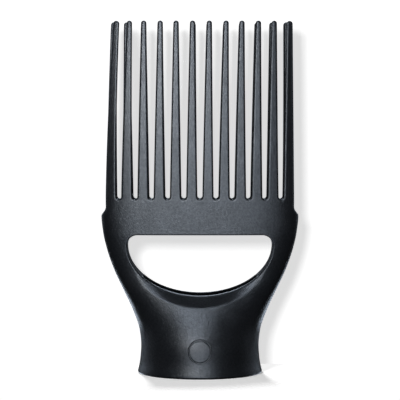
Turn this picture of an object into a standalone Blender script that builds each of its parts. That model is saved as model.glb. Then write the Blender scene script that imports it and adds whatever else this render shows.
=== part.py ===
"""Comb nozzle for a hand-held hair dryer, as an assembly of sixteen separate pieces.

The nozzle stands on the rim of its collar with its teeth up. The frame's origin is the centre of the rim,
+Z runs up the teeth and -Y is the front. Lengths are in millimetres until a mesh is made.
"""
import math

import bmesh
import bpy
import numpy as np
from mathutils import Matrix
from mathutils.geometry import delaunay_2d_cdt

MM = 0.001
HALF_PI = math.pi / 2

# Outer form of the body: height, half width, half depth and squareness (2 is an ellipse) of its sections
STATIONS = (
    (0.0, 29.4, 29.4, 2.0),
    (6.0, 28.1, 28.1, 2.0),
    (13.0, 27.6, 27.3, 2.0),
    (20.0, 28.3, 24.6, 2.0),
    (29.0, 31.3, 19.5, 2.1),
    (39.0, 35.9, 14.2, 2.5),
    (48.0, 40.1, 11.3, 2.8),
    (58.0, 43.6, 10.6, 3.0),
    (66.0, 45.4, 10.4, 3.2),
    (74.0, 46.2, 10.3, 3.2),
    (82.0, 46.2, 10.2, 3.2),
    (166.0, 46.2, 8.8, 3.2),
)
SEAM_GAP = 0.3
WALL = 2.0

# Window between the arms: a half ellipse below, rounded corners and a straight edge above
WINDOW_HALF_WIDTH = 34.1
WINDOW_MIDDLE_Z = 59.8
WINDOW_DROP = 23.1
WINDOW_CORNER = 5.0
FRAME_WALL = 1.8
# The frame wall closes each arm between these two directions, from the middles of the window's curves
FRAME_WALL_FROM = -38.0
FRAME_WALL_TO = 60.0

# Lip: the band that falls from the crease on the neck back to the edge of the mouth
LIP_EDGE_DEPTH = 11.0
LIP_SLOPE = 1.45
LIP_SLOPE_FADE = 0.00123
LIP_SLOPE_LEAST = 0.5
CREASE_SOFTNESS = 0.8

# Teeth
TOOTH_COUNT = 12
TOOTH_PITCH = 7.56
SLOT_ROOT_HALF = 1.19
SLOT_TIP_HALF = 2.52
SLOT_MIDDLE_Z = 82.7
TIP_Z = 164.4
COMB_HALF_WIDTH = 43.7
COMB_TIP_HALF_WIDTH = 42.8
BAND_END_Z = 74.3
SHOULDER_Z = 75.4
SHOULDER_DROP = 0.7
COMB_SIDE_Z = 78.1
TOOTH_ROOT_DEPTH = 3.4
TOOTH_TIP_DEPTH = 2.6
TOOTH_BLEND_Z = (68.0, 80.0)
# How far each tooth's tip leans to +X, from the tooth at -X on, and the power that a lean grows with
FRONT_LEAN = (2.9, 1.3, 0.4, 0.5, 0.3, 0.4, 0.6, 0.8, 0.6, 0.7, 0.5, 0.0)
REAR_LEAN = (1.4, -0.5, -0.1, 0.1, 0.1, 0.6, 0.5, 0.8, 0.7, 0.5, -0.1, -1.1)
LEAN_POWER = 1.6

# Screws that hold the shells together, driven from the rear: name, x, z
SCREWS = (
    ("arm_screw_left", -35.2, 47.8),
    ("arm_screw_right", 35.2, 47.8),
    ("band_screw_left", -40.0, 70.6),
    ("band_screw_right", 40.0, 70.6),
)
BOSS_RADIUS = 2.25
HEAD_RADIUS = 1.45
HEAD_HEIGHT = 1.3
HEAD_SEAT = 4.6
HEAD_CHAMFER = 0.3
DRIVER_DIMPLE = 0.6
SHANK_RADIUS = 0.8
SHANK_LENGTH = 7.6
PILOT_DEPTH = 3.3
SCREW_GAP = 0.3
STEP_WIDTH = 0.12

# Bearing inside the collar
SLEEVE_BORE_RADIUS = 22.2
SLEEVE_RADIUS = 23.6
SLEEVE_TOP = 15.6
FLANGE_RADIUS = 25.9
FLANGE_BOTTOM = 0.6
FLANGE_TOP = 2.4
RIB_RADIUS = 24.0
RIB_BOTTOM = 4.2
RIB_TOP = 5.8
RUNNING_GAP = 0.3
FINGER_SLITS = 6
SLIT_WIDTH = 1.4
SLIT_BOTTOM = 8.6
SLIT_OVERSHOOT = 2.0
GROOVE_RADIUS = 23.0
RETAINER_HEIGHT = 1.0
RETAINER_RADIUS = 24.9
RETAINER_OPENING = 14.0
SPRING_GROOVE_RADIUS = 23.2
SPRING_Z = 12.4
SPRING_WIRE_RADIUS = 0.5
SPRING_OPENING = 8.0
SEAL_RADII = (20.6, 22.8)
SEAL_HEIGHT = 2.2

# Air guide inside the neck
GUIDE_BOTTOM = 18.8
GUIDE_GAP = 0.9
GUIDE_WALL = 1.1
GUIDE_SET_BACK = 3.2
GUIDE_SIDE_Z = 41.5
GUIDE_LIP_ANGLE = 45.0
VANES = (("left_vane", -12.0), ("centre_vane", 0.0), ("right_vane", 12.0))
VANE_HALF_THICKNESS = 0.6
VANE_BOTTOM = 20.0
VANE_SET_BACK = 2.0
VANE_GAP = 0.9

# Mark on the front of the collar: a plain engraved ring
MARK_Z = 12.5
MARK_RADII = (4.6, 5.6)
MARK_DEPTH = 0.45

# How finely the curves are cut into straight steps
FLAT_SCALE = 40.0
ROUND_STEPS = 48
GIRTH_STEPS = 16
BOSS_STEPS = 10
MARK_STEPS = 16
SCREW_STEPS = 12
WIRE_STEPS = 6
GUIDE_SEAM_STEPS = 5
GUIDE_LIP_STEPS = 14
VANE_STEPS = 5
SEARCH_STEPS = 30
GRID_STEP = 4.0
GRID_CLEARANCE = 1.2
MERGE_DISTANCE = 0.001
ANGLE_TOLERANCE = 0.01
SHARP_ANGLE = 35.0
RIB_LINES = (RIB_BOTTOM - STEP_WIDTH, RIB_BOTTOM, RIB_TOP, RIB_TOP + STEP_WIDTH)


# ------------------------------------------------------------------ form of the body

def station_slopes(column):
    """Slopes through the stations that keep the curve from overshooting."""
    heights = [row[0] for row in STATIONS]
    values = [row[column] for row in STATIONS]
    steps = [(values[i + 1] - values[i]) / (heights[i + 1] - heights[i]) for i in range(len(values) - 1)]
    slopes = [steps[0]]
    for before, after in zip(steps, steps[1:]):
        slopes.append(2 * before * after / (before + after) if before * after > 0 else 0.0)
    return slopes + [steps[-1]]


SLOPES = {column: station_slopes(column) for column in (1, 2, 3)}


def profile(column, z):
    """Value of one column of STATIONS at height z, on a smooth curve."""
    index = 0
    while index < len(STATIONS) - 2 and z > STATIONS[index + 1][0]:
        index += 1
    low, high = STATIONS[index], STATIONS[index + 1]
    span = high[0] - low[0]
    t = (z - low[0]) / span
    slope_low, slope_high = SLOPES[column][index], SLOPES[column][index + 1]
    return ((2 * t**3 - 3 * t**2 + 1) * low[column] + (t**3 - 2 * t**2 + t) * span * slope_low
            + (3 * t**2 - 2 * t**3) * high[column] + (t**3 - t**2) * span * slope_high)


def ease(low, high, value):
    """Smooth step from 0 at low to 1 at high."""
    t = min(max((value - low) / (high - low), 0.0), 1.0)
    return t * t * (3 - 2 * t)


def soft_min(first, second, radius):
    """The smaller of two values, rounded where they cross."""
    blend = max(radius - abs(first - second), 0.0) / radius
    return min(first, second) - blend * blend * radius / 4


def mouth_edge(x):
    """Height of the window's curved lower edge at x."""
    reach = min(abs(x) / WINDOW_HALF_WIDTH, 1.0)
    return WINDOW_MIDDLE_Z - WINDOW_DROP * math.sqrt(1 - reach * reach)


def half_depth(x, z):
    """Half depth of the section at height z, with the lip cut into the neck below the mouth."""
    depth = profile(2, z)
    slope = max(LIP_SLOPE_LEAST, LIP_SLOPE - LIP_SLOPE_FADE * x * x)
    lip = LIP_EDGE_DEPTH + slope * (mouth_edge(x) - z)
    return soft_min(depth, lip, CREASE_SOFTNESS) if z < WINDOW_MIDDLE_Z else depth


def x_at(angle, z):
    """x of the section at height z, at an angle from the middle of the front to a side seam."""
    square = profile(3, z)
    sine, cosine = abs(math.sin(angle)), abs(math.cos(angle))
    reach = sine / (sine**square + cosine**square) ** (1 / square)
    return math.copysign(profile(1, z) * reach, angle)


def angle_at(x, z):
    """Angle at which the section at height z reaches x."""
    square = profile(3, z)
    reach = min(abs(x) / profile(1, z), 1.0) ** square
    return math.copysign(math.atan2(reach ** (1 / square), (1 - reach) ** (1 / square)), x)


def skin_point(angle, z, inset):
    """x and depth of the front half's skin, moved inwards by inset. Depth is measured from the seam."""
    width, square = profile(1, z), profile(3, z)
    x = x_at(angle, z)
    reach = min(abs(x) / width, 1.0)
    rest = (1 - reach**square) ** (1 / square)
    deep = half_depth(x, z) - SEAM_GAP / 2
    normal_x = math.copysign(reach ** (square - 1) / width, x)
    normal_depth = rest ** (square - 1) / deep
    length = math.hypot(normal_x, normal_depth)
    straight = ease(*TOOTH_BLEND_Z, z)
    move_x = normal_x / length * (1 - straight)
    move_depth = normal_depth / length * (1 - straight) + straight
    scale = inset / math.hypot(move_x, move_depth)
    return x - move_x * scale, max(deep * rest - move_depth * scale, 0.0)


def wall_thickness(z):
    """Thickness of the shell's wall: with the bearing rib in the collar, and the teeth's depth on top."""
    if RIB_BOTTOM <= z <= RIB_TOP:
        return profile(1, z) - RIB_RADIUS
    tooth = TOOTH_ROOT_DEPTH + (TOOTH_TIP_DEPTH - TOOTH_ROOT_DEPTH) * ease(SLOT_MIDDLE_Z, TIP_Z, z)
    return WALL + (tooth - WALL) * ease(*TOOTH_BLEND_Z, z)


# ------------------------------------------------------------------ flat outlines (x, z)

def arc(centre_x, centre_z, radius_x, radius_z, start, end, steps):
    """Points of an elliptic arc. Angles are in degrees, counter-clockwise from +X."""
    angles = [math.radians(start + (end - start) * i / steps) for i in range(steps + 1)]
    return [(centre_x + radius_x * math.cos(a), centre_z + radius_z * math.sin(a)) for a in angles]


def mirrored(points):
    """The same points on the other side of the middle, in reverse order."""
    return [(-x, z) for x, z in reversed(points)]


def window_side(grow, start=-90.0, end=90.0, steps=10, corner_steps=3):
    """Right half of the window's outline, grown outwards, from the bottom up to the top corner."""
    lower = arc(0, WINDOW_MIDDLE_Z, WINDOW_HALF_WIDTH + grow, WINDOW_DROP + grow, start, 0, steps)
    corner_x = WINDOW_HALF_WIDTH - WINDOW_CORNER
    corner = arc(corner_x, WINDOW_MIDDLE_Z, WINDOW_CORNER + grow, WINDOW_CORNER + grow, 0, end, corner_steps)
    return lower + corner[1:]


def slot_x(index):
    """Middle of a slot between two teeth, at its root."""
    return (index - TOOTH_COUNT / 2) * TOOTH_PITCH


def tooth_edges(tooth, lean, height_share):
    """Left and right edge of a tooth, at a share of the height from its root to its tip."""
    half = SLOT_ROOT_HALF + (SLOT_TIP_HALF - SLOT_ROOT_HALF) * height_share
    side = COMB_HALF_WIDTH + (COMB_TIP_HALF_WIDTH - COMB_HALF_WIDTH) * height_share
    left = slot_x(tooth) + half if tooth > 0 else -side
    right = slot_x(tooth + 1) - half if tooth < TOOTH_COUNT - 1 else side
    shift = lean * height_share**LEAN_POWER
    return left + shift, right + shift


def tooth_outline(tooth, lean, steps=4, tip_steps=4):
    """One tooth from the foot of its right edge, over its tip, to the foot of its left edge."""
    rise = TIP_Z - SLOT_MIDDLE_Z
    left_tip, right_tip = tooth_edges(tooth, lean, 1.0)
    tip_radius = (right_tip - left_tip) / 2
    top_share = 1 - tip_radius / rise
    shares = [top_share * i / steps for i in range(steps)]
    right = [(tooth_edges(tooth, lean, share)[1], SLOT_MIDDLE_Z + rise * share) for share in shares]
    left = [(tooth_edges(tooth, lean, share)[0], SLOT_MIDDLE_Z + rise * share) for share in shares]
    middle = (left_tip + right_tip) / 2
    tip = arc(middle, TIP_Z - tip_radius, tip_radius, tip_radius, 0, 180, tip_steps)
    return right + tip + left[::-1]


def slot_floor(index, steps=4):
    """Round bottom of a slot, from right to left."""
    points = arc(slot_x(index), SLOT_MIDDLE_Z, SLOT_ROOT_HALF, SLOT_ROOT_HALF, 0, -180, steps)
    return points[1:-1]


def across(z, steps=GIRTH_STEPS):
    """Points at height z from the left seam to the right one."""
    return [(-HALF_PI + math.pi * i / steps, z) for i in range(steps + 1)]


def shell_outline(leans):
    """Outline of a half shell: the rim, the side seams, the ends of the band and the teeth."""
    rim = across(0.0)[:-1]
    heights = [row[0] for row in STATIONS if row[0] < BAND_END_Z]
    seam_heights = sorted(heights + list(RIB_LINES) + [BAND_END_Z])
    right_seam = [(HALF_PI, z) for z in seam_heights]
    shoulder = ((profile(1, SHOULDER_Z) - SHOULDER_DROP, SHOULDER_Z), (COMB_HALF_WIDTH, COMB_SIDE_Z))
    teeth = []
    for tooth in range(TOOTH_COUNT - 1, -1, -1):
        teeth += tooth_outline(tooth, leans[tooth])
        if tooth > 0:
            teeth += slot_floor(tooth)
    upper = list(shoulder) + teeth + mirrored(shoulder)
    left_seam = [(-HALF_PI, z) for z in seam_heights[:0:-1]]
    return rim + right_seam + [(angle_at(x, z), z) for x, z in upper] + left_seam


# ------------------------------------------------------------------ half shells and guides

class Sheet:
    """Points and forced edges in the flat plane of angle and height, each with two depths."""

    def __init__(self):
        self.points = []
        self.levels = []
        self.edges = []
        self.loops = []

    def add(self, points, level, closed=True, boundary=False):
        """Add a line of points. level says how the two faces of the sheet lie along it."""
        first = len(self.points)
        self.points += points
        self.levels += [level] * len(points)
        count = len(points)
        last = count if closed else count - 1
        self.edges += [(first + i, first + (i + 1) % count) for i in range(last)]
        if boundary:
            self.loops.append([(angle * FLAT_SCALE, z) for angle, z in points])

    def add_flat(self, points, level, closed=True, boundary=False):
        """The same for points given as x and height."""
        self.add([(angle_at(x, z), z) for x, z in points], level, closed, boundary)

    def inside(self, angle, z):
        """True on the material: inside the outline and outside the holes."""
        crossings = 0
        u = angle * FLAT_SCALE
        for loop in self.loops:
            for (u0, z0), (u1, z1) in zip(loop, loop[1:] + loop[:1]):
                if (z0 > z) != (z1 > z) and u < u0 + (u1 - u0) * (z - z0) / (z1 - z0):
                    crossings += 1
        return crossings % 2 == 1

    def clear(self, angle, z, distance):
        """True where every forced edge is at least distance away."""
        here = np.array((angle * FLAT_SCALE, z))
        flat = np.array([(a * FLAT_SCALE, h) for a, h in self.points])
        ends = np.array(self.edges)
        start, end = flat[ends[:, 0]], flat[ends[:, 1]]
        along = end - start
        share = ((here - start) * along).sum(1) / np.maximum((along * along).sum(1), 1e-9)
        nearest = start + along * np.clip(share, 0, 1)[:, None]
        return np.hypot(*(here - nearest).T).min() > distance

    def fill(self, angles, heights, level, distance):
        """Add the grid points that lie on the material, clear of the forced edges."""
        spots = [(angle, z) for z in heights for angle in angles]
        spots = [spot for spot in spots if self.inside(*spot) and self.clear(*spot, distance)]
        self.points += spots
        self.levels += [level] * len(spots)

    def triangles(self):
        """Triangulate the sheet and keep the triangles on the material."""
        flat = [(angle * FLAT_SCALE, z) for angle, z in self.points]
        result = delaunay_2d_cdt(flat, self.edges, [], 0, 1e-6)
        spots, faces, sources = result[0], result[2], result[3]
        origin = [source[0] for source in sources]
        kept = []
        for face in faces:
            u = sum(spots[i][0] for i in face) / 3
            z = sum(spots[i][1] for i in face) / 3
            if self.inside(u / FLAT_SCALE, z):
                kept.append([origin[i] for i in face])
        return kept


def sheet_object(name, sheet, front, side, material):
    """Closed solid between the sheet's outer and inner faces. side is -1 for the front half, 1 for rear."""
    mesh = bmesh.new()
    outer, inner = [], []
    for (angle, z), level in zip(sheet.points, sheet.levels):
        near, far = front(angle, z, level)
        outer.append(mesh.verts.new((near[0] * MM, side * near[1] * MM, z * MM)))
        inner.append(mesh.verts.new((far[0] * MM, side * far[1] * MM, z * MM)))
    used = {}
    for a, b, c in sheet.triangles():
        mesh.faces.new((outer[a], outer[b], outer[c]))
        mesh.faces.new((inner[c], inner[b], inner[a]))
        for edge in ((a, b), (b, c), (c, a)):
            used[edge] = True
    for a, b in used:
        if (b, a) not in used:
            mesh.faces.new((outer[b], outer[a], inner[a], inner[b]))
    return finish_mesh(name, mesh, material)


PLAIN = (0.0, None, None)
ON_SEAM = (0.0, None, SEAM_GAP / 2)


def shell_faces(angle, z, level):
    """Outer and inner point of the wall. level is (depth cut outside, floor outside, depth inside)."""
    cut, floor, inside = level
    x, depth = skin_point(angle, z, cut)
    outer = (x, depth + SEAM_GAP / 2 if floor is None else floor)
    if inside is not None:
        return outer, (x, inside)
    lining_x, lining_depth = skin_point(angle, z, wall_thickness(z))
    return outer, (lining_x, lining_depth + SEAM_GAP / 2)


def guide_faces(angle, z, _level):
    """Outer and inner point of the air guide's wall."""
    faces = []
    for inset in (WALL + GUIDE_GAP, WALL + GUIDE_GAP + GUIDE_WALL):
        x, depth = skin_point(angle, z, inset)
        faces.append((x, depth + SEAM_GAP / 2))
    return faces


def circle(x, z, radius, steps):
    """Closed circle of points."""
    return arc(x, z, radius, radius, 0, 360, steps)[:-1]


def on_frame_wall(x, z):
    """True along the part of the window's side that carries a wall."""
    if z <= WINDOW_MIDDLE_Z:
        angle = math.degrees(math.asin(max((z - WINDOW_MIDDLE_Z) / WINDOW_DROP, -1.0)))
    else:
        angle = math.degrees(math.asin(min((z - WINDOW_MIDDLE_Z) / WINDOW_CORNER, 1.0)))
    return FRAME_WALL_FROM - ANGLE_TOLERANCE <= angle <= FRAME_WALL_TO + ANGLE_TOLERANCE


def add_window(sheet):
    """The window, whose sides stand on the seam as walls that close the arms."""
    side = window_side(0.0)
    outline = side + mirrored(side)[:-1]
    first = len(sheet.points)
    sheet.add_flat(outline, PLAIN, boundary=True)
    sheet.levels[first:] = [ON_SEAM if on_frame_wall(x, z) else PLAIN for x, z in outline]
    for grow, level in ((FRAME_WALL, ON_SEAM), (FRAME_WALL + STEP_WIDTH, PLAIN)):
        line = window_side(grow, FRAME_WALL_FROM, FRAME_WALL_TO, 6, 3)
        sheet.add_flat(line, level, closed=False)
        sheet.add_flat(mirrored(line), level, closed=False)


def add_boss(sheet, x, z, rear):
    """A screw boss: counterbored and drilled through in the rear shell, with a blind pilot in the front."""
    bore = SHANK_RADIUS + SCREW_GAP
    seat = HEAD_RADIUS + SCREW_GAP
    rings = [(BOSS_RADIUS + STEP_WIDTH, PLAIN, False), (BOSS_RADIUS, ON_SEAM, False)]
    if rear:
        seated = (0.0, HEAD_SEAT, SEAM_GAP / 2)
        rings += [(seat + STEP_WIDTH, ON_SEAM, False), (seat, seated, False), (bore, seated, True)]
    else:
        rings += [(bore + STEP_WIDTH, ON_SEAM, False), (bore, (0.0, None, PILOT_DEPTH), False)]
    for radius, level, hole in rings:
        sheet.add_flat(circle(x, z, radius, BOSS_STEPS), level, boundary=hole)


def add_mark(sheet):
    """The plain ring engraved on the front of the collar."""
    low, high = MARK_RADII
    for radius, cut in ((low, 0), (low + STEP_WIDTH, 1), (high - STEP_WIDTH, 1), (high, 0)):
        sheet.add_flat(circle(0, MARK_Z, radius, MARK_STEPS), (cut * MARK_DEPTH, None, None))


def make_shell(name, leans, rear, material):
    """Half of the body: collar, neck, arms, comb band and one row of teeth."""
    sheet = Sheet()
    sheet.add(shell_outline(leans), PLAIN, boundary=True)
    for z in RIB_LINES:
        sheet.add(across(z), PLAIN, closed=False)
    add_window(sheet)
    for _name, x, z in SCREWS:
        add_boss(sheet, x, z, rear)
    if not rear:
        add_mark(sheet)
    angles = [angle for angle, _z in across(0.0)[1:-1]]
    heights = [GRID_STEP * i for i in range(1, int(SLOT_MIDDLE_Z / GRID_STEP))]
    sheet.fill(angles, heights, PLAIN, GRID_CLEARANCE)
    return sheet_object(name, sheet, shell_faces, 1 if rear else -1, material)


def make_guide(name, rear, material):
    """Half of the inner duct, from the round inlet to just below the mouth."""
    seam_step = (GUIDE_SIDE_Z - GUIDE_BOTTOM) / GUIDE_SEAM_STEPS
    seam_heights = [GUIDE_BOTTOM + seam_step * i for i in range(GUIDE_SEAM_STEPS + 1)]
    lip = arc(0, WINDOW_MIDDLE_Z, WINDOW_HALF_WIDTH + GUIDE_SET_BACK, WINDOW_DROP + GUIDE_SET_BACK,
              -GUIDE_LIP_ANGLE, GUIDE_LIP_ANGLE - 180, GUIDE_LIP_STEPS)
    outline = across(GUIDE_BOTTOM)[:-1] + [(HALF_PI, z) for z in seam_heights]
    outline += [(angle_at(x, z), z) for x, z in lip]
    outline += [(-HALF_PI, z) for z in seam_heights[:0:-1]]
    sheet = Sheet()
    sheet.add(outline, PLAIN, boundary=True)
    angles = [angle for angle, _z in across(0.0)[1:-1]]
    sheet.fill(angles, seam_heights[1:-1], PLAIN, GRID_CLEARANCE)
    return sheet_object(name, sheet, guide_faces, 1 if rear else -1, material)


def duct_depth(x, z, inset):
    """Depth of the surface that lies inset inside the skin, at x and height z."""
    low, high = 0.0, HALF_PI
    for _step in range(SEARCH_STEPS):
        middle = (low + high) / 2
        if skin_point(middle, z, inset)[0] < abs(x):
            low = middle
        else:
            high = middle
    return skin_point(low, z, inset)[1] + SEAM_GAP / 2


def make_vane(name, x, material):
    """A thin plate across the duct, shaped to its front and rear walls."""
    top = mouth_edge(x) - GUIDE_SET_BACK - VANE_SET_BACK
    inset = WALL + GUIDE_GAP + GUIDE_WALL + VANE_GAP
    heights = [VANE_BOTTOM + (top - VANE_BOTTOM) * i / VANE_STEPS for i in range(VANE_STEPS + 1)]
    rear_edge = [(duct_depth(abs(x) + VANE_HALF_THICKNESS, z, inset), z) for z in heights]
    outline = [(-depth, z) for depth, z in rear_edge] + rear_edge[::-1]
    mesh = bmesh.new()
    sides = []
    for face_x in (-VANE_HALF_THICKNESS, VANE_HALF_THICKNESS):
        sides.append([mesh.verts.new((face_x * MM, y * MM, z * MM)) for y, z in outline])
    mesh.faces.new(sides[0])
    mesh.faces.new(sides[1][::-1])
    for i in range(len(outline)):
        after = (i + 1) % len(outline)
        mesh.faces.new((sides[0][i], sides[1][i], sides[1][after], sides[0][after]))
    thing = finish_mesh(name, mesh, material)
    thing.location.x = x * MM
    return thing


# ------------------------------------------------------------------ turned pieces

def make_ring(name, section, material, opening=0.0, steps=ROUND_STEPS):
    """Turn a closed section of (radius, height) points about Z. opening is a gap in degrees, at the rear."""
    mesh = bmesh.new()
    start = HALF_PI + math.radians(opening / 2)
    sweep = 2 * math.pi - math.radians(opening)
    stations = steps if opening == 0 else steps + 1
    rings = []
    for i in range(stations):
        angle = start + sweep * i / steps
        rings.append([mesh.verts.new((r * math.cos(angle) * MM, r * math.sin(angle) * MM, z * MM))
                      for r, z in section])
    for i in range(steps):
        here, there = rings[i], rings[(i + 1) % stations]
        for j in range(len(section)):
            after = (j + 1) % len(section)
            mesh.faces.new((here[j], there[j], there[after], here[after]))
    if opening:
        mesh.faces.new(rings[0])
        mesh.faces.new(rings[-1][::-1])
    return finish_mesh(name, mesh, material)


def rectangle(inner, outer, bottom, top):
    """Section of a flat ring."""
    return [(inner, bottom), (outer, bottom), (outer, top), (inner, top)]


def make_sleeve(material):
    """The push-on sleeve: flange, groove for the retaining ring, groove for the spring, and fingers."""
    groove_top = RIB_TOP + RETAINER_HEIGHT + 2 * RUNNING_GAP
    spring_reach = SPRING_WIRE_RADIUS + RUNNING_GAP
    section = [
        (SLEEVE_BORE_RADIUS, FLANGE_BOTTOM), (FLANGE_RADIUS, FLANGE_BOTTOM), (FLANGE_RADIUS, FLANGE_TOP),
        (SLEEVE_RADIUS, FLANGE_TOP), (SLEEVE_RADIUS, RIB_TOP), (GROOVE_RADIUS, RIB_TOP),
        (GROOVE_RADIUS, groove_top), (SLEEVE_RADIUS, groove_top), (SLEEVE_RADIUS, SPRING_Z - spring_reach),
        (SPRING_GROOVE_RADIUS, SPRING_Z - spring_reach), (SPRING_GROOVE_RADIUS, SPRING_Z + spring_reach),
        (SLEEVE_RADIUS, SPRING_Z + spring_reach), (SLEEVE_RADIUS, SLEEVE_TOP), (SLEEVE_BORE_RADIUS, SLEEVE_TOP),
    ]
    sleeve = make_ring("mount_sleeve", section, material)
    cutter = bmesh.new()
    for i in range(FINGER_SLITS):
        turn = 2 * math.pi * (i + 0.5) / FINGER_SLITS
        block = bmesh.ops.create_cube(cutter, size=1.0)["verts"]
        reach = FLANGE_RADIUS - GROOVE_RADIUS + SLIT_OVERSHOOT
        size = (reach * MM, SLIT_WIDTH * MM, 2 * (SLEEVE_TOP - SLIT_BOTTOM) * MM)
        bmesh.ops.scale(cutter, vec=size, verts=block)
        bmesh.ops.translate(cutter, vec=(SLEEVE_RADIUS * MM, 0, SLEEVE_TOP * MM), verts=block)
        bmesh.ops.rotate(cutter, cent=(0, 0, 0), matrix=Matrix.Rotation(turn, 3, "Z"), verts=block)
    slits = finish_mesh("slit_cutter", cutter, material)
    slits.hide_render = True
    slits.display_type = "WIRE"
    cut = sleeve.modifiers.new("finger_slits", "BOOLEAN")
    cut.operation = "DIFFERENCE"
    cut.object = slits
    return sleeve


def make_screw(name, x, z, material):
    """Self-tapping screw on a line along Y, with its head at the rear and a dimple for the driver."""
    head_bottom = HEAD_SEAT + SCREW_GAP
    head_top = head_bottom + HEAD_HEIGHT
    section = [
        (0.0, head_bottom - SHANK_LENGTH), (SHANK_RADIUS, head_bottom - SHANK_LENGTH + SHANK_RADIUS),
        (SHANK_RADIUS, head_bottom), (HEAD_RADIUS, head_bottom), (HEAD_RADIUS, head_top - HEAD_CHAMFER),
        (HEAD_RADIUS - HEAD_CHAMFER, head_top), (DRIVER_DIMPLE, head_top), (0.0, head_top - DRIVER_DIMPLE),
    ]
    mesh = bmesh.new()
    columns = []
    for i in range(SCREW_STEPS):
        angle = 2 * math.pi * i / SCREW_STEPS
        columns.append([mesh.verts.new((r * math.cos(angle) * MM, y * MM, r * math.sin(angle) * MM))
                        for r, y in section])
    for i in range(SCREW_STEPS):
        here, there = columns[i], columns[(i + 1) % SCREW_STEPS]
        for j in range(len(section) - 1):
            mesh.faces.new((here[j], there[j], there[j + 1], here[j + 1]))
    bmesh.ops.remove_doubles(mesh, verts=mesh.verts, dist=MERGE_DISTANCE * MM)
    screw = finish_mesh(name, mesh, material)
    screw.location = (x * MM, 0, z * MM)
    return screw


# ------------------------------------------------------------------ meshes and materials

def finish_mesh(name, mesh, material):
    """Turn a bmesh into a named object with its material, with normals out and round faces smooth."""
    bmesh.ops.recalc_face_normals(mesh, faces=mesh.faces)
    data = bpy.data.meshes.new(name)
    mesh.to_mesh(data)
    mesh.free()
    data.shade_smooth()
    data.set_sharp_from_angle(angle=math.radians(SHARP_ANGLE))
    data.materials.append(material)
    thing = bpy.data.objects.new(name, data)
    bpy.context.scene.collection.objects.link(thing)
    return thing


def plastic(name, colour, roughness, metallic=0.0):
    """A material from its colour, roughness and metallic value."""
    material = bpy.data.materials.new(name)
    material.use_nodes = True
    shader = material.node_tree.nodes["Principled BSDF"]
    shader.inputs["Base Color"].default_value = (*colour, 1.0)
    shader.inputs["Roughness"].default_value = roughness
    shader.inputs["Metallic"].default_value = metallic
    return material


def clear_scene():
    """Remove what the scene holds."""
    for thing in list(bpy.data.objects):
        bpy.data.objects.remove(thing, do_unlink=True)


def main():
    """Make every piece. Those that turn with the shells hang from one empty on the collar's axis."""
    clear_scene()
    black = plastic("black_moulding", (0.03, 0.031, 0.034), 0.42)
    grey = plastic("duct_moulding", (0.06, 0.06, 0.065), 0.5)
    acetal = plastic("sleeve_moulding", (0.045, 0.045, 0.05), 0.4)
    slippery = plastic("slip_plastic", (0.75, 0.74, 0.7), 0.45)
    silicone = plastic("silicone", (0.12, 0.12, 0.13), 0.7)
    steel = plastic("spring_steel", (0.55, 0.55, 0.56), 0.3, 1.0)
    axis = bpy.data.objects.new("nozzle_axis", None)
    bpy.context.scene.collection.objects.link(axis)
    turning = [
        make_shell("front_shell", FRONT_LEAN, False, black),
        make_shell("rear_shell", REAR_LEAN, True, black),
        make_guide("front_air_guide", False, grey),
        make_guide("rear_air_guide", True, grey),
    ]
    turning += [make_vane(name, x, grey) for name, x in VANES]
    turning += [make_screw(name, x, z, steel) for name, x, z in SCREWS]
    for thing in turning:
        thing.parent = axis
    make_sleeve(acetal)
    washer_inner = SLEEVE_RADIUS + RUNNING_GAP
    washer = rectangle(washer_inner, FLANGE_RADIUS, FLANGE_TOP + RUNNING_GAP, RIB_BOTTOM - RUNNING_GAP)
    make_ring("slip_washer", washer, slippery)
    retainer_bottom = RIB_TOP + RUNNING_GAP
    retainer = rectangle(GROOVE_RADIUS + RUNNING_GAP, RETAINER_RADIUS, retainer_bottom,
                         retainer_bottom + RETAINER_HEIGHT)
    make_ring("retaining_ring", retainer, steel, RETAINER_OPENING)
    spring_radius = SPRING_GROOVE_RADIUS + RUNNING_GAP + SPRING_WIRE_RADIUS
    wire = circle(spring_radius, SPRING_Z, SPRING_WIRE_RADIUS, WIRE_STEPS)
    make_ring("grip_spring", wire, steel, SPRING_OPENING)
    seal_bottom = SLEEVE_TOP + RUNNING_GAP
    make_ring("inlet_seal", rectangle(*SEAL_RADII, seal_bottom, seal_bottom + SEAL_HEIGHT), silicone)


main()
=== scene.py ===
"""Looks of the comb nozzle: fine moulded shells, duct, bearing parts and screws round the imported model.

Lengths are in millimetres until a mesh is made. The form of the shells repeats the CAD model's: sections
at a few heights, a lip below the window, and two rows of tapered teeth.
"""
import math

import bmesh
import bpy
import numpy as np
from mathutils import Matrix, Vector, kdtree
from mathutils.geometry import delaunay_2d_cdt


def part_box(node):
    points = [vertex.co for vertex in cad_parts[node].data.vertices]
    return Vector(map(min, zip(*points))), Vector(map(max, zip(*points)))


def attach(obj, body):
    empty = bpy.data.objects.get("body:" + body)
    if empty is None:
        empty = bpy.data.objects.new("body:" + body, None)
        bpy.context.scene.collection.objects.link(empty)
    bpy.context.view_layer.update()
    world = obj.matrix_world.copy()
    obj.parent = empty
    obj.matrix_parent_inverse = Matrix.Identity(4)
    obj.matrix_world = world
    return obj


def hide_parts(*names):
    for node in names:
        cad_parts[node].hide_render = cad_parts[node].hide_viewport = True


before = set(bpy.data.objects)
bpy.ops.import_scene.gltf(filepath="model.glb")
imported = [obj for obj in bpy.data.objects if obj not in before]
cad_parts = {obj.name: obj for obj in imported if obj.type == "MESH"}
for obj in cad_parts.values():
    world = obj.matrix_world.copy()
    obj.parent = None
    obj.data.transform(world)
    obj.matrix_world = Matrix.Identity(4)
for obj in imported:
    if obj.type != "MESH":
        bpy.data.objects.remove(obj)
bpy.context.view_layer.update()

MM = 0.001
HALF_PI = math.pi / 2

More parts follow.
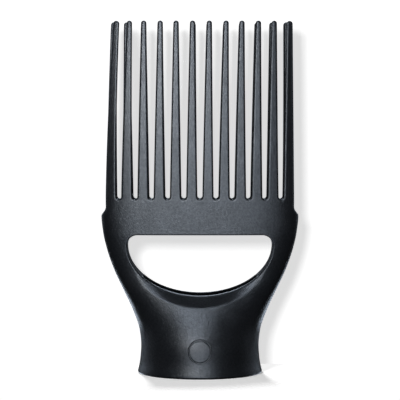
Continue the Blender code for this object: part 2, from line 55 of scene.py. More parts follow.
# Outer form of the body: height, half width, half depth and squareness (2 is an ellipse) of its sections
STATIONS = np.array((
    (0.0, 29.4, 29.4, 2.0),
    (6.0, 28.1, 28.1, 2.0),
    (13.0, 27.6, 27.3, 2.0),
    (20.0, 28.3, 24.6, 2.0),
    (29.0, 31.3, 19.5, 2.1),
    (39.0, 35.9, 14.2, 2.5),
    (48.0, 40.1, 11.3, 2.8),
    (58.0, 43.6, 10.6, 3.0),
    (66.0, 45.4, 10.4, 3.2),
    (74.0, 46.2, 10.3, 3.2),
    (82.0, 46.2, 10.2, 3.2),
    (166.0, 46.2, 8.8, 3.2),
))
SEAM_GAP = 0.02
WALL = 2.0

# Window between the arms
WINDOW_HALF_WIDTH = 34.1
WINDOW_MIDDLE_Z = 59.8
WINDOW_DROP = 23.1
WINDOW_CORNER = 5.0
FRAME_WALL = 1.8
FRAME_WALL_FROM = -38.0
FRAME_WALL_TO = 60.0

# Lip below the window
LIP_EDGE_DEPTH = 11.0
LIP_SLOPE = 1.45
LIP_SLOPE_FADE = 0.00123
LIP_SLOPE_LEAST = 0.5
CREASE_SOFTNESS = 0.8
CREASE_SIDE_SOFTNESS = 0.4
CREASE_FADE_X = (4.0, 14.0)
CREASE_REACH = 26.0
CREASE_LINES = (-0.7, -0.4, -0.2, 0.0, 0.2, 0.4, 0.7)

# Teeth
TOOTH_COUNT = 12
TOOTH_PITCH = 7.56
SLOT_ROOT_HALF = 1.19
SLOT_TIP_HALF = 2.52
SLOT_MIDDLE_Z = 82.7
TIP_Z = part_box("front_shell")[1][2] / MM
COMB_HALF_WIDTH = 44.0
COMB_TIP_HALF_WIDTH = 43.2
BAND_END_Z = 74.3
COMB_SIDE_Z = 78.1
TOOTH_ROOT_DEPTH = 3.4
TOOTH_TIP_DEPTH = 2.6
TOOTH_BLEND_Z = (68.0, 80.0)
FRONT_LEAN = (2.9, 1.3, 0.4, 0.5, 0.3, 0.4, 0.6, 0.8, 0.6, 0.7, 0.5, 0.0)
REAR_LEAN = (1.4, -0.5, -0.1, 0.1, 0.1, 0.6, 0.5, 0.8, 0.7, 0.5, -0.1, -1.1)
LEAN_POWER = 1.6

# Radii of the moulding's rounded edges
TOOTH_EDGE = 0.9
WINDOW_EDGE = 0.5
RIM_EDGE = 1.1
RIM_INNER_EDGE = 0.4
SEAM_EDGE = 0.22
EDGE_TURNS = (0.0, 18.0, 36.0, 54.0, 72.0, 90.0)
# Width of the lighter line painted along the crest of each rounded edge as its highlight
PAINTED_HIGHLIGHT_WIDTH = 0.28
STEP_WIDTH = 0.12

# Points on the skin: rows from and up to a height, the distance between rows and that along them
SKIN_ROWS = ((1.8, 27.0, 1.25, 1.3), (27.6, 50.0, 0.62, 0.75), (50.8, 84.0, 1.25, 1.3))
SHELL_CLEARANCE = 0.55
GUIDE_CLEARANCE = 0.8
SEAM_ROW_STEP = 1.2
SEAM_ROW_CLEARANCE = 0.3

# Screws in the rear shell
SCREWS = ("arm_screw_left", "arm_screw_right", "band_screw_left", "band_screw_right")
BOSS_RADIUS = 2.25
HEAD_RADIUS = 1.45
HEAD_HEIGHT = 1.3
HEAD_SEAT = 4.6
SHANK_RADIUS = 0.8
SHANK_LENGTH = 7.6
PILOT_DEPTH = 3.3
SCREW_GAP = 0.3
COUNTERBORE_DRAFT = 0.1
COUNTERBORE_EDGE = 0.16
THREAD_PITCH = 0.95
THREAD_DEPTH = 0.2
THREAD_CORE = SHANK_RADIUS - 0.14
THREAD_STEPS = 7
THREAD_FADE = 0.5
THREAD_SHARPNESS = 3.2
PLAIN_SHANK = 0.6
POINT_LENGTH = 1.3
POINT_SIZE = 0.12
CROSS_REACH = 0.85
CROSS_HALF = 0.2
CROSS_DEPTH = 0.65
CROSS_TAPER = (0.55, 0.6)

# Bearing inside the collar
SLEEVE_BORE_RADIUS = 22.2
SLEEVE_RADIUS = 23.6
SLEEVE_TOP = 15.6
FLANGE_RADIUS = 25.9
FLANGE_BOTTOM = 0.6
FLANGE_TOP = 2.4
RIB_RADIUS = 24.0
RIB_BOTTOM = 4.2
RIB_TOP = 5.8
RUNNING_GAP = 0.3
FINGER_SLITS = 6
SLIT_WIDTH = 1.4
SLIT_BOTTOM = 8.6
LEAD_IN = 0.5
FINGER_CHAMFER = 0.4
FINGER_BORE_CHAMFER = (0.3, 0.6)
GROOVE_RADIUS = 23.0
RETAINER_HEIGHT = 1.0
RETAINER_RADIUS = 24.9
RETAINER_OPENING = 14.0
SPRING_GROOVE_RADIUS = 23.2
SPRING_Z = 12.4
SPRING_WIRE_RADIUS = 0.5
SPRING_OPENING = 8.0
SEAL_RADII = (20.6, 22.8)
SEAL_HEIGHT = 2.2
SEAL_WAIST = 0.35
SEAL_RIM = 0.7
SEAL_DISH = 0.5

# Air guide inside the neck
GUIDE_BOTTOM = 18.8
GUIDE_GAP = 0.9
GUIDE_WALL = 1.1
GUIDE_SET_BACK = 3.2
GUIDE_SIDE_Z = 41.5

# Plain engraved ring on the front of the collar
MARK_Z = 12.5
MARK_RADII = (4.6, 5.6)
MARK_DEPTH = 0.6
MARK_LINES = (-0.12, 0.0, 0.1, 0.25, 0.5, 0.75, 0.9, 1.0, 1.12)

# Camera and papers, in metres
CAMERA_DISTANCE = 0.850
CAMERA_HEIGHT = 0.1086
CAMERA_AIM_Z = 0.0809
CAMERA_X = 0.00005
VIEW_WIDTH = 0.1876
FLOOR_X = -0.008
FLOOR_REACH = 0.7
BACKDROP_Y = 0.0305
BACKDROP_MIDDLE_Z = 0.0822
BACKDROP_REACH = 0.3

# Papers' glow, and the distances from their middles over which they fade out
FLOOR_LOOK = (0.30, 0.046, 0.070)
BACKDROP_LOOK = (0.69, 0.15, 0.28)

# Brightness of the surroundings for the object and for the camera, and the lights' colours
WORLD_LEVELS = (0.024, 1.02)
COOL = (0.865, 1.0, 1.19)
NEUTRAL = (0.94, 1.0, 1.07)
WHITE = (1.0, 1.0, 1.0)

# Lights: name, azimuth and elevation in degrees, distance, size and radiance, then any colour and aim
NOZZLE_LIGHTS = (
    ("key", -4, -2, 1.3, (0.72, 0.25), 6.4),
    ("low_strip", -9, 7, 0.5, (0.16, 0.06), 14.5, NEUTRAL),
    ("low_strip_right", 10, 7, 0.5, (0.16, 0.06), 8.5),
    ("near_strip", -15, 8, 0.3, (0.10, 0.04), 27.0, NEUTRAL, (0, 0, 0.14)),
    ("upper", -9, 45, 0.5, (0.12, 0.25), 12.5),
    ("left_rim", -138, 12, 1.2, (0.25, 0.8), 1.5),
    ("right_rim", 138, 12, 1.2, (0.25, 0.8), 1.1),
    ("left_low_rim", -150, -26, 0.8, (0.25, 0.2), 4.2),
    ("right_low_rim", 150, -26, 0.8, (0.25, 0.2), 3.8),
    ("left_side", -112, 8, 1.1, (0.3, 0.6), 0.4),
    ("right_side", 112, 8, 1.1, (0.3, 0.6), 0.4),
    ("rear_low", 180, 15, 1.3, (0.3, 0.12), 4.0),
    ("rear", 180, 30, 1.2, (0.7, 0.4), 4.0),
)
BACKDROP_LIGHTS = (("shade", -9, 8.5, 0.87, (0.12, 0.12), 75.0, WHITE, (0, BACKDROP_Y, 0.1)),)
FLOOR_LIGHTS = (
    ("floor_front", -20, 27, 0.9, (0.15, 0.12), 113.0, WHITE, (0, 0, 0)),
    ("floor_rear", -172, 22, 0.9, (0.13, 0.07), 330.0, WHITE, (0, 0, 0)),
)

FAR = 1e6


# ---------- form of the body

def station_slopes(column):
    """Slopes through the stations that keep the curve from overshooting."""
    steps = np.diff(STATIONS[:, column]) / np.diff(STATIONS[:, 0])
    inner = [2 * a * b / (a + b) if a * b > 0 else 0.0 for a, b in zip(steps, steps[1:])]
    return np.array([steps[0]] + inner + [steps[-1]])


SLOPES = {column: station_slopes(column) for column in (1, 2, 3)}


def profile(column, z):
    """Value of one column of STATIONS at heights z, on a smooth curve."""
    z = np.asarray(z, float)
    index = np.clip(np.searchsorted(STATIONS[:, 0], z, "right") - 1, 0, len(STATIONS) - 2)
    low, high = STATIONS[index], STATIONS[index + 1]
    span = high[..., 0] - low[..., 0]
    t = (z - low[..., 0]) / span
    slope_low, slope_high = SLOPES[column][index], SLOPES[column][index + 1]
    return ((2 * t**3 - 3 * t**2 + 1) * low[..., column] + (t**3 - 2 * t**2 + t) * span * slope_low
            + (3 * t**2 - 2 * t**3) * high[..., column] + (t**3 - t**2) * span * slope_high)


def ease(low, high, value):
    """Smooth step from 0 at low to 1 at high."""
    t = np.clip((np.asarray(value, float) - low) / (high - low), 0.0, 1.0)
    return t * t * (3 - 2 * t)


def bisected(low, high, below, steps):
    """Value between low and high up to which below is true."""
    for _step in range(steps):
        middle = (low + high) / 2
        short = below(middle)
        low, high = np.where(short, middle, low), np.where(short, high, middle)
    return low


def mouth_edge(x):
    """Height of the window's curved lower edge at x."""
    reach = np.minimum(np.abs(x) / WINDOW_HALF_WIDTH, 1.0)
    return WINDOW_MIDDLE_Z - WINDOW_DROP * np.sqrt(1 - reach * reach)


def crease_softness(x):
    """How far the crease between neck and lip is rounded: softest in the middle."""
    return CREASE_SOFTNESS + (CREASE_SIDE_SOFTNESS - CREASE_SOFTNESS) * ease(*CREASE_FADE_X, np.abs(x))


def lip_depth(x, z):
    """Half depth of the lip, which slopes out and down from the mouth's edge."""
    slope = np.maximum(LIP_SLOPE_LEAST, LIP_SLOPE - LIP_SLOPE_FADE * x * x)
    return LIP_EDGE_DEPTH + slope * (mouth_edge(x) - z)


def half_depth(x, z):
    """Half depth of the section at height z, with the lip cut into the neck below the mouth."""
    depth, lip = profile(2, z), lip_depth(x, z)
    softness = crease_softness(x)
    blend = np.maximum(softness - np.abs(depth - lip), 0.0) / softness
    cut = np.minimum(depth, lip) - blend * blend * softness / 4
    return np.where(np.asarray(z) < WINDOW_MIDDLE_Z, cut, depth)


def crease_height(x):
    """Height at which the neck meets the lip, at x."""
    return bisected(25.0, mouth_edge(x), lambda z: profile(2, z) < lip_depth(x, z), 30)


def angle_at(x, z):
    """Angle from the middle of the front at which the section at height z reaches x."""
    square = profile(3, z)
    reach = np.minimum(np.abs(x) / profile(1, z), 1.0) ** square
    return np.copysign(np.arctan2(reach ** (1 / square), (1 - reach) ** (1 / square)), x)


def section(angle, z):
    """x and depth, without the lip, of the section at height z and an angle."""
    square = profile(3, z)
    sine, cosine = np.abs(np.sin(angle)), np.abs(np.cos(angle))
    size = (sine**square + cosine**square) ** (-1 / square)
    return np.copysign(profile(1, z) * sine * size, angle), (profile(2, z) - SEAM_GAP / 2) * cosine * size


GIRTH_HEIGHTS = np.linspace(0.0, STATIONS[-1, 0], 333)
GIRTH_ANGLES = np.linspace(0.0, HALF_PI, 721)


def girth_table():
    """Distance round the section from the middle of the front, by height and angle."""
    x, depth = section(GIRTH_ANGLES[None, :], GIRTH_HEIGHTS[:, None])
    steps = np.hypot(np.diff(x, axis=1), np.diff(depth, axis=1))
    return np.concatenate([np.zeros((len(GIRTH_HEIGHTS), 1)), np.cumsum(steps, axis=1)], axis=1)


GIRTH = girth_table()


def half_girth(z):
    """Distance round the section from the middle of the front to a seam."""
    return np.interp(z, GIRTH_HEIGHTS, GIRTH[:, -1])


def cell(value, line):
    """Cell of an even line from 0 that a value falls in, and its share of the way across."""
    place = np.clip(value / line[-1] * (len(line) - 1), 0, len(line) - 1.000001)
    return place.astype(int), place % 1


def girth_at(angle, z):
    """Distance round the section at an angle."""
    angle, z = np.broadcast_arrays(np.asarray(angle, float), np.asarray(z, float))
    (i, u), (j, v) = cell(z, GIRTH_HEIGHTS), cell(np.abs(angle), GIRTH_ANGLES)
    value = ((1 - u) * (1 - v) * GIRTH[i, j] + (1 - u) * v * GIRTH[i, j + 1]
             + u * (1 - v) * GIRTH[i + 1, j] + u * v * GIRTH[i + 1, j + 1])
    return np.copysign(value, angle)


def angle_of(girth, z):
    """Angle at a distance round the section."""
    low = bisected(0.0, HALF_PI, lambda angle: girth_at(angle, z) < np.abs(girth), 28)
    angle = np.where(np.abs(girth) >= half_girth(z) - 1e-5, HALF_PI, low)
    return np.copysign(angle, girth)


def skin_points(angle, z, inset):
    """x and depth of a half's skin, moved inwards by inset."""
    width, square = profile(1, z), profile(3, z)
    x, _depth = section(angle, z)
    reach = np.minimum(np.abs(x) / width, 1.0)
    rest = np.maximum(1 - reach**square, 0.0) ** (1 / square)
    deep = half_depth(x, z) - SEAM_GAP / 2
    normal_x = np.copysign(reach ** (square - 1) / width, x)
    normal_depth = rest ** (square - 1) / deep
    length = np.hypot(normal_x, normal_depth)
    straight = ease(*TOOTH_BLEND_Z, z)
    move_x = normal_x / length * (1 - straight)
    move_depth = normal_depth / length * (1 - straight) + straight
    scale = inset / np.hypot(move_x, move_depth)
    return x - move_x * scale, SEAM_GAP / 2 + np.maximum(deep * rest - move_depth * scale, 0.0)


def wall_thickness(z):
    """Thickness of the shell's wall: with the bearing rib in the collar, and the teeth's depth on top."""
    tooth = TOOTH_ROOT_DEPTH + (TOOTH_TIP_DEPTH - TOOTH_ROOT_DEPTH) * ease(SLOT_MIDDLE_Z, TIP_Z, z)
    wall = WALL + (tooth - WALL) * ease(*TOOTH_BLEND_Z, z)
    return np.where((z >= RIB_BOTTOM) & (z <= RIB_TOP), profile(1, z) - RIB_RADIUS, wall)


def edge_drop(distance, radius):
    """How far a rounded edge of that radius lies below the face, at a distance from the edge."""
    rest = np.maximum(radius - distance, 0.0)
    return radius - np.sqrt(radius * radius - rest * rest)


# ---------- flat outlines

def zipped(*parts):
    """Rows that take a value from each of the parts, such as points from their coordinates."""
    return np.stack(np.broadcast_arrays(*parts), axis=-1)


def arc(centre_x, centre_z, radius_x, radius_z, start, end, steps):
    """Points of an elliptic arc. Angles are in degrees, counter-clockwise from +X."""
    angles = np.radians(np.linspace(start, end, steps + 1))
    return zipped(centre_x + radius_x * np.cos(angles), centre_z + radius_z * np.sin(angles))


def circle(x, z, radius, steps):
    """Closed circle of points."""
    return arc(x, z, radius, radius, 0, 360, steps)[:-1]


def mirrored(points):
    """The same points on the other side of the middle, in reverse order."""
    return points[::-1] * (-1, 1)


def unrolled(points):
    """Points in x and height, as distance round the section and height."""
    x, z = points.T
    return zipped(girth_at(angle_at(x, z), z), z)


def shifted(line, distance, closed):
    """The line moved to its left by a distance."""
    ahead, behind = np.roll(line, -1, axis=0) - line, line - np.roll(line, 1, axis=0)
    if not closed:
        ahead[-1], behind[0] = behind[-1], ahead[0]
    ahead /= np.linalg.norm(ahead, axis=1)[:, None]
    behind /= np.linalg.norm(behind, axis=1)[:, None]
    along = ahead + behind
    along /= np.linalg.norm(along, axis=1)[:, None]
    turn = np.maximum((along * ahead).sum(axis=1), 0.5)
    return line + zipped(-along[:, 1], along[:, 0]) * (distance / turn)[:, None]


def window_side(grow, start=-90.0, end=90.0, steps=48, corner_steps=14):
    """Right half of the window's outline, grown outwards, from the bottom up to the top corner."""
    lower = arc(0, WINDOW_MIDDLE_Z, WINDOW_HALF_WIDTH + grow, WINDOW_DROP + grow, start, 0, steps)
    corner_x = WINDOW_HALF_WIDTH - WINDOW_CORNER
    corner = arc(corner_x, WINDOW_MIDDLE_Z, WINDOW_CORNER + grow, WINDOW_CORNER + grow, 0, end, corner_steps)
    return np.concatenate([lower, corner[1:]])


def slot_x(index):
    """Middle of a slot between two teeth, at its root."""
    return (index - TOOTH_COUNT / 2) * TOOTH_PITCH


def tooth_edges(tooth, lean, share):
    """Left and right edge of a tooth, at shares of the height from its root to its tip."""
    half = SLOT_ROOT_HALF + (SLOT_TIP_HALF - SLOT_ROOT_HALF) * share
    side = COMB_HALF_WIDTH + (COMB_TIP_HALF_WIDTH - COMB_HALF_WIDTH) * share
    left = slot_x(tooth) + half if tooth > 0 else -side
    right = slot_x(tooth + 1) - half if tooth < TOOTH_COUNT - 1 else side
    shift = lean * share**LEAN_POWER
    return left + shift, right + shift


def tooth_outline(tooth, lean, steps=34, tip_steps=14):
    """One tooth from the foot of its right edge, over its tip, to the foot of its left edge."""
    rise = TIP_Z - SLOT_MIDDLE_Z
    left_tip, right_tip = tooth_edges(tooth, lean, 1.0)
    tip_radius = (right_tip - left_tip) / 2
    shares = np.linspace(0, 1 - tip_radius / rise, steps + 1)[:-1]
    left, right = tooth_edges(tooth, lean, shares)
    heights = SLOT_MIDDLE_Z + rise * shares
    tip = arc((left_tip + right_tip) / 2, TIP_Z - tip_radius, tip_radius, tip_radius, 0, 180, tip_steps)
    return np.concatenate([zipped(right, heights), tip, zipped(left, heights)[::-1]])


def comb_line(leans):
    """Unrolled line from the right seam over the band's end and round the teeth to the left seam."""
    teeth = []
    for tooth in range(TOOTH_COUNT - 1, -1, -1):
        teeth.append(tooth_outline(tooth, leans[tooth]))
        if tooth > 0:
            root = arc(slot_x(tooth), SLOT_MIDDLE_Z, SLOT_ROOT_HALF, SLOT_ROOT_HALF, 0, -180, 14)
            teeth.append(root[1:-1])
    teeth = unrolled(np.concatenate(teeth))
    foot = unrolled(np.array([[COMB_HALF_WIDTH, COMB_SIDE_Z]]))[0]
    seam = half_girth(BAND_END_Z)
    notch = arc(seam, COMB_SIDE_Z, seam - foot[0], COMB_SIDE_Z - BAND_END_Z, -90, -180, 12)
    rise = np.linspace(COMB_SIDE_Z, SLOT_MIDDLE_Z, 5)[1:-1]
    side = unrolled(zipped(COMB_HALF_WIDTH, rise))
    right = np.concatenate([notch, side])
    return np.concatenate([right, teeth, mirrored(right)])


# ---------- sheets of moulded wall

# Columns of a sheet's levels: how far its outer and inner faces are cut back, the depths of a floor and of
# an inner face that doesn't follow the skin, and whether a painted highlight lies along the edge
CUT, INNER_CUT, FLOOR, INSIDE, PAINTED_HIGHLIGHT = range(5)


class Sheet:
    """Points and forced edges on the unrolled skin, and the levels of its two faces at each point."""

    def __init__(self):
        self.points = np.zeros((0, 2))
        self.levels = np.zeros((0, 5))
        self.edges = np.zeros((0, 2), int)
        self.loops = []

    def add(self, line, closed=False, forced=True, edge=FAR, radius=0.0, cut=0.0, floor=np.nan,
            inside=np.nan):
        """Add a line. edge is its distance from a rounded edge of that radius."""
        first, count = len(self.points), len(line)
        drop = edge_drop(edge, radius)
        # Points on the crest of a rounded edge carry a painted highlight: a lighter line in the moulding's
        # colour
        painted_highlight = 1.0 if abs(edge - radius) < PAINTED_HIGHLIGHT_WIDTH / 2 else 0.0
        levels = np.tile((drop + cut, drop, floor, inside, painted_highlight), (count, 1))
        self.points = np.concatenate([self.points, line])
        self.levels = np.concatenate([self.levels, levels])
        if forced:
            last = count if closed else count - 1
            here = np.arange(last)
            self.edges = np.concatenate([self.edges, first + zipped(here, (here + 1) % count)])

    def add_circle(self, x, z, size, steps, **levels):
        """Add a circle round x and a height. size is its own radius."""
        self.add(unrolled(circle(x, z, size, steps)), closed=True, **levels)

    def inside(self, points):
        """Which points lie on the material: inside the outline and outside the holes."""
        crossings = np.zeros(len(points), int)
        for loop in self.loops:
            start, end = loop, np.roll(loop, -1, axis=0)
            for low in range(0, len(points), 2000):
                part = points[low:low + 2000]
                spans = (start[:, 1] > part[:, 1:]) != (end[:, 1] > part[:, 1:])
                rise = np.where(end[:, 1] == start[:, 1], 1e-12, end[:, 1] - start[:, 1])
                cross = start[:, 0] + (end[:, 0] - start[:, 0]) * (part[:, 1:] - start[:, 1]) / rise
                crossings[low:low + 2000] += (spans & (part[:, :1] < cross)).sum(axis=1)
        return crossings % 2 == 1

    def fill(self, points, clearance):
        """Add the points that lie on the material, clear of the lines."""
        start, end = self.points[self.edges[:, 0]], self.points[self.edges[:, 1]]
        length = np.linalg.norm(end - start, axis=1)
        taken = [start]
        for share in (0.25, 0.5, 0.75):
            taken.append((start + (end - start) * share)[length > clearance])
        taken = np.concatenate(taken)
        tree = kdtree.KDTree(len(taken))
        for index, (u, z) in enumerate(taken):
            tree.insert((u, z, 0), index)
        tree.balance()
        points = points[self.inside(points)]
        kept = [tree.find((u, z, 0))[2] > clearance for u, z in points]
        self.add(points[np.array(kept)], forced=False)

    def triangles(self):
        """Triangles on the material, as the numbers of their points."""
        triangles = triangulated(self.points, self.edges.tolist())
        return triangles[self.inside(self.points[triangles].mean(axis=1))]


def triangulated(points, edges):
    """Triangles between points, as the numbers of their points, that keep the edges."""
    result = delaunay_2d_cdt([Vector(point) for point in points], edges, [], 0, 1e-7)
    if not all(result[3]):
        raise ValueError("two edges cross")
    origin = np.array([source[0] for source in result[3]])
    return origin[np.array(result[2])]


def solid(name, points, faces, material, sharp=40.0, painted_highlight=None):
    """A piece from points in millimetres and its faces. The last argument gives each point its share of
    painted highlight, a lighter line along rounded edges.
    """
    data = bpy.data.meshes.new(name)
    data.from_pydata((points * MM).tolist(), [], faces)
    # Painted highlight along rounded edges, kept as a point attribute for the material
    if painted_highlight is not None:
        shown = data.attributes.new("painted_edge_highlight", "FLOAT", "POINT")
        shown.data.foreach_set("value", painted_highlight.astype(np.float32))
    mesh = bmesh.new()
    mesh.from_mesh(data)
    stray = [vert for vert in mesh.verts if not vert.link_faces]
    bmesh.ops.delete(mesh, geom=stray, context="VERTS")
    bmesh.ops.recalc_face_normals(mesh, faces=mesh.faces)
    mesh.to_mesh(data)
    mesh.free()
    data.shade_smooth()
    data.set_sharp_from_angle(angle=math.radians(sharp))
    data.materials.append(material)
    thing = bpy.data.objects.new(name, data)
    bpy.context.scene.collection.objects.link(thing)
    return thing


def sheet_solid(name, outer, inner, triangles, material, painted_highlight=None):
    """Solid between the outer and inner points of a sheet. The last argument is the painted highlight of the
    outer points.
    """
    count = len(outer)
    edges = {edge: True for a, b, c in triangles.tolist() for edge in ((a, b), (b, c), (c, a))}
    walls = [(b, a, a + count, b + count) for a, b in edges if (b, a) not in edges]
    faces = triangles.tolist() + (triangles[:, ::-1] + count).tolist() + walls
    if painted_highlight is not None:
        painted_highlight = np.concatenate([painted_highlight, np.zeros(count)])
    return solid(name, np.concatenate([outer, inner]), faces, material, painted_highlight=painted_highlight)


def frame_wall_mask(points):
    """Which points of the window's outline carry a wall that closes the arm."""
    x, z = points.T
    low = np.degrees(np.arcsin(np.clip((z - WINDOW_MIDDLE_Z) / WINDOW_DROP, -1, 0)))
    high = np.degrees(np.arcsin(np.clip((z - WINDOW_MIDDLE_Z) / WINDOW_CORNER, 0, 1)))
    angle = np.where(z <= WINDOW_MIDDLE_Z, low, high)
    return (angle >= FRAME_WALL_FROM) & (angle <= FRAME_WALL_TO) & (np.abs(x) > 1)


def edge_lines(radius):
    """Distances from an edge at which lines follow its rounding."""
    return [radius * (1 - math.cos(math.radians(turn))) for turn in EDGE_TURNS]


def across(z, steps=72):
    """Line at height z from the left seam to the right one, unrolled."""
    angles = np.linspace(-HALF_PI, HALF_PI, steps + 1)
    girth = girth_at(angles, z)
    girth[0], girth[-1] = -half_girth(z), half_girth(z)
    return zipped(girth, z)


def add_outline(sheet, leans):
    """Rim, seams and comb of a half shell, with the lines of their rounded edges."""
    rim = across(0.0)
    comb = comb_line(leans)
    rim_lines = edge_lines(RIM_EDGE)[1:]
    rib_lines = [RIB_BOTTOM - STEP_WIDTH, RIB_BOTTOM, RIB_TOP, RIB_TOP + STEP_WIDTH]
    comb_lines = edge_lines(TOOTH_EDGE)[1:] + [TOOTH_EDGE + PAINTED_HIGHLIGHT_WIDTH]
    plain = np.arange(2 * SEAM_ROW_STEP, BAND_END_Z - 1.5, SEAM_ROW_STEP)
    plain = [z for z in plain if min(abs(z - rib) for rib in rib_lines) > SEAM_ROW_CLEARANCE]
    heights = np.array(sorted(rim_lines + rib_lines + plain + [BAND_END_Z - d for d in comb_lines]))
    right = zipped(half_girth(heights), heights)
    left = mirrored(right)
    sheet.loops.append(np.concatenate([rim, right, comb, left]))
    sheet.add(np.concatenate([rim, right]))
    sheet.add(comb, edge=0.0, radius=TOOTH_EDGE)
    sheet.add(left)
    foot, last = len(rim) + len(right), len(sheet.points) - 1
    joins = [(foot - 1, foot), (last - len(left), last - len(left) + 1), (last, 0)]
    sheet.edges = np.concatenate([sheet.edges, joins])
    for distance in comb_lines:
        line = shifted(comb, distance, closed=False)
        line[0] = (half_girth(BAND_END_Z - distance), BAND_END_Z - distance)
        line[-1] = line[0] * (-1, 1)
        sheet.add(line, edge=distance, radius=TOOTH_EDGE)
    for z in rim_lines + rib_lines:
        sheet.add(across(z))


def add_window(sheet):
    """The window with its rounded edge and the walls that close the arms."""
    side = window_side(0.0)
    top = zipped(np.linspace(side[-1, 0], -side[-1, 0], 40)[1:-1], side[-1, 1])
    flat = np.concatenate([side, top, mirrored(side)[:-1]])
    loop = unrolled(flat)
    walled = frame_wall_mask(flat)
    sheet.loops.append(loop)
    for distance in edge_lines(WINDOW_EDGE) + [WINDOW_EDGE + PAINTED_HIGHLIGHT_WIDTH]:
        first = len(sheet.points)
        sheet.add(shifted(loop, -distance, closed=True), closed=True, edge=distance, radius=WINDOW_EDGE)
        sheet.levels[first:, INSIDE] = np.where(walled, SEAM_GAP / 2, np.nan)
    for grow, inside in ((FRAME_WALL, SEAM_GAP / 2), (FRAME_WALL + STEP_WIDTH, np.nan)):
        line = window_side(grow, FRAME_WALL_FROM, FRAME_WALL_TO, 26, 10)
        sheet.add(unrolled(line), inside=inside)
        sheet.add(unrolled(mirrored(line)), inside=inside)


def screw_place(node):
    """x and height of a screw's axis."""
    low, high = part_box(node)
    return (low[0] + high[0]) / 2 / MM, (low[2] + high[2]) / 2 / MM


def add_boss(sheet, x, z, rear):
    """A screw boss: counterbored and drilled through at the rear, with a blind pilot in the front."""
    bore = SHANK_RADIUS + SCREW_GAP
    seat = HEAD_RADIUS + SCREW_GAP
    on_seam = SEAM_GAP / 2
    sheet.add_circle(x, z, BOSS_RADIUS + STEP_WIDTH, 40)
    sheet.add_circle(x, z, BOSS_RADIUS, 40, inside=on_seam)
    if rear:
        for distance in (0.0, 0.06, COUNTERBORE_EDGE):
            sheet.add_circle(x, z, seat + COUNTERBORE_DRAFT + distance, 36, edge=distance,
                             radius=COUNTERBORE_EDGE, inside=on_seam)
        sheet.add_circle(x, z, seat, 36, floor=HEAD_SEAT, inside=on_seam)
        sheet.add_circle(x, z, bore, 24, floor=HEAD_SEAT, inside=on_seam)
        sheet.loops.append(unrolled(circle(x, z, bore, 24)))
    else:
        sheet.add_circle(x, z, bore + STEP_WIDTH, 24, inside=on_seam)
        sheet.add_circle(x, z, bore, 24, inside=PILOT_DEPTH)


def add_mark(sheet):
    """The plain ring engraved on the front of the collar, as a round-bottomed groove."""
    low, high = MARK_RADII
    for share in MARK_LINES:
        depth = MARK_DEPTH * math.sqrt(max(4 * share * (1 - share), 0.0))
        sheet.add_circle(0, MARK_Z, low + (high - low) * share, 64, cut=depth)


def shell_grid():
    """Points all over the skin, closest round the lip."""
    rows = []
    for low, high, rise, step in SKIN_ROWS:
        for z in np.arange(low, high, rise):
            reach = half_girth(z)
            girth = np.linspace(-reach, reach, int(2 * reach / step))[1:-1]
            rows.append(zipped(girth, z))
    return np.concatenate(rows)


def add_lip(sheet):
    """Lines that follow the crease between neck and lip."""
    xs = np.linspace(-CREASE_REACH, CREASE_REACH, 90)
    crease = crease_height(xs)
    for rise in CREASE_LINES:
        sheet.add(unrolled(zipped(xs, crease + rise)))


def make_shell(name, leans, rear, material):
    """Half of the body: collar, neck, arms, comb band and one row of teeth."""
    sheet = Sheet()
    add_outline(sheet, leans)
    add_window(sheet)
    for node in SCREWS:
        add_boss(sheet, *screw_place(node), rear)
    if not rear:
        add_mark(sheet)
    add_lip(sheet)
    sheet.fill(shell_grid(), SHELL_CLEARANCE)
    girth, z = sheet.points.T
    angle = angle_of(girth, z)
    seam_distance = half_girth(z) - np.abs(girth)
    cut = np.maximum(sheet.levels[:, CUT], edge_drop(seam_distance, SEAM_EDGE))
    cut = np.maximum(cut, edge_drop(z, RIM_EDGE))
    inner_cut = np.maximum(sheet.levels[:, INNER_CUT], edge_drop(z, RIM_INNER_EDGE))
    x, depth = skin_points(angle, z, cut)
    floor = sheet.levels[:, FLOOR]
    depth = np.where(np.isnan(floor), depth, floor)
    lining_x, lining_depth = skin_points(angle, z, wall_thickness(z) - inner_cut)
    inside = sheet.levels[:, INSIDE]
    lining_x = np.where(np.isnan(inside), lining_x, x)
    lining_depth = np.where(np.isnan(inside), lining_depth, inside)
    side = 1 if rear else -1
    outer = zipped(x, side * depth, z)
    inner = zipped(lining_x, side * lining_depth, z)
    # Lighter line painted along the rounded edges as their highlight
    painted_highlight = sheet.levels[:, PAINTED_HIGHLIGHT]
    shell = sheet_solid(name + "_moulding", outer, inner, sheet.triangles(), material, painted_highlight)
    dress(shell, "nozzle", "black_moulding", name)


def dress(piece, body, slot, *nodes):
    """Make a piece ride on its body and stand for CAD nodes, which it hides. slot is not used."""
    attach(piece, body)
    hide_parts(*nodes)


# ---------- materials

# Where noise mostly lies, and the sockets of a mix node that carry colours
NOISE_RANGE = {"From Min": 0.3, "From Max": 0.7}
MIX_FIRST, MIX_SECOND, MIX_RESULT = 6, 7, 2


